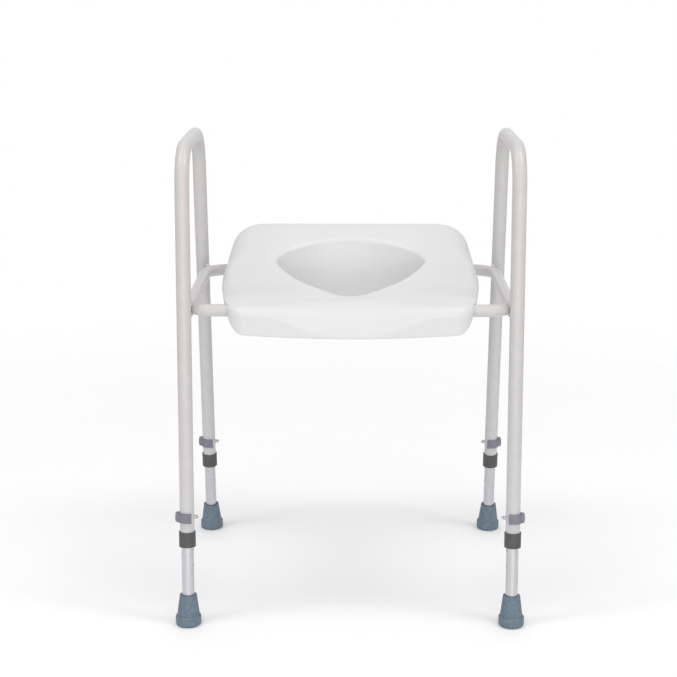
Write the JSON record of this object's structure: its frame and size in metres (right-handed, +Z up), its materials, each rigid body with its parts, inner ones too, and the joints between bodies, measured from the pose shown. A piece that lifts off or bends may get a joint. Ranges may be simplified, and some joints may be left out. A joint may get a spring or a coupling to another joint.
{
  "type": "raised toilet seat",
  "caption": "Free-standing raised toilet seat: contoured white seat on a tube frame with flat arms and telescopic legs held by clip pins.",
  "frame": {"origin": "on the floor, under the middle of the four feet", "axes": "+Z up, the user sits facing -Y, +X is to the right when looking at the front of the seat along +Y"},
  "size_m": [0.5414, 0.4348, 0.7391],
  "materials": {
    "frame_paint": "satin powder coat, warm pale grey",
    "leg_aluminium": "satin drawn tube",
    "collar_plastic": "matte dark grey",
    "clip_plastic": "matte blue-grey",
    "pin_steel": "zinc-plated steel",
    "foot_rubber": "matte blue-grey rubber",
    "seat_plastic": "white, semi-gloss moulding",
    "saddle_plastic": "matte light grey",
    "washer_steel": "plain steel"
  },
  "bodies": {
    "frame": {"side_frame_left": "frame_paint", "side_frame_right": "frame_paint", "front_rail": "frame_paint", "rear_rail": "frame_paint", "rail_sleeve_left": "washer_steel", "rail_sleeve_right": "washer_steel", "rail_weld_front_left": "frame_paint", "leg_collar_front_left": "collar_plastic", "rail_weld_front_right": "frame_paint", "leg_collar_front_right": "collar_plastic", "rail_weld_rear_left": "frame_paint", "leg_collar_rear_left": "collar_plastic", "rail_weld_rear_right": "frame_paint", "leg_collar_rear_right": "collar_plastic"},
    "leg_front_left": {"leg_extension_front_left": "leg_aluminium", "foot_ferrule_front_left": "foot_rubber", "foot_washer_front_left": "washer_steel"},
    "clip_front_left": {"adjuster_clip_front_left": "clip_plastic", "clip_pin_front_left": "pin_steel"},
    "leg_front_right": {"leg_extension_front_right": "leg_aluminium", "foot_ferrule_front_right": "foot_rubber", "foot_washer_front_right": "washer_steel"},
    "clip_front_right": {"adjuster_clip_front_right": "clip_plastic", "clip_pin_front_right": "pin_steel"},
    "leg_rear_left": {"leg_extension_rear_left": "leg_aluminium", "foot_ferrule_rear_left": "foot_rubber", "foot_washer_rear_left": "washer_steel"},
    "clip_rear_left": {"adjuster_clip_rear_left": "clip_plastic", "clip_pin_rear_left": "pin_steel"},
    "leg_rear_right": {"leg_extension_rear_right": "leg_aluminium", "foot_ferrule_rear_right": "foot_rubber", "foot_washer_rear_right": "washer_steel"},
    "clip_rear_right": {"adjuster_clip_rear_right": "clip_plastic", "clip_pin_rear_right": "pin_steel"},
    "seat": {"seat_shell": "seat_plastic", "seat_saddle_front_left": "saddle_plastic", "seat_saddle_front_right": "saddle_plastic", "seat_saddle_rear_left": "saddle_plastic", "seat_saddle_rear_right": "saddle_plastic", "saddle_screws": "pin_steel"}
  },
  "joints": [
    {"name": "leg_slide_front_left", "type": "slide", "parent": "frame", "child": "leg_front_left", "axis": [0, -0.1016, -0.9948], "range_m": [-0.0762, 0.0762]},
    {"name": "clip_pull_front_left", "type": "slide", "parent": "frame", "child": "clip_front_left", "axis": [-1, 0, 0], "range_m": [0, 0.034]},
    {"name": "leg_slide_front_right", "type": "slide", "parent": "frame", "child": "leg_front_right", "axis": [0, -0.1016, -0.9948], "range_m": [-0.0762, 0.0762]},
    {"name": "clip_pull_front_right", "type": "slide", "parent": "frame", "child": "clip_front_right", "axis": [1, 0, 0], "range_m": [0, 0.034]},
    {"name": "leg_slide_rear_left", "type": "slide", "parent": "frame", "child": "leg_rear_left", "axis": [0, 0.1016, -0.9948], "range_m": [-0.0762, 0.0762]},
    {"name": "clip_pull_rear_left", "type": "slide", "parent": "frame", "child": "clip_rear_left", "axis": [-1, 0, 0], "range_m": [0, 0.034]},
    {"name": "leg_slide_rear_right", "type": "slide", "parent": "frame", "child": "leg_rear_right", "axis": [0, 0.1016, -0.9948], "range_m": [-0.0762, 0.0762]},
    {"name": "clip_pull_rear_right", "type": "slide", "parent": "frame", "child": "clip_rear_right", "axis": [1, 0, 0], "range_m": [0, 0.034]},
    {"name": "seat_lift_off", "type": "slide", "parent": "frame", "child": "seat", "axis": [0, 0, 1], "range_m": [0, 0.25]}
  ]
}
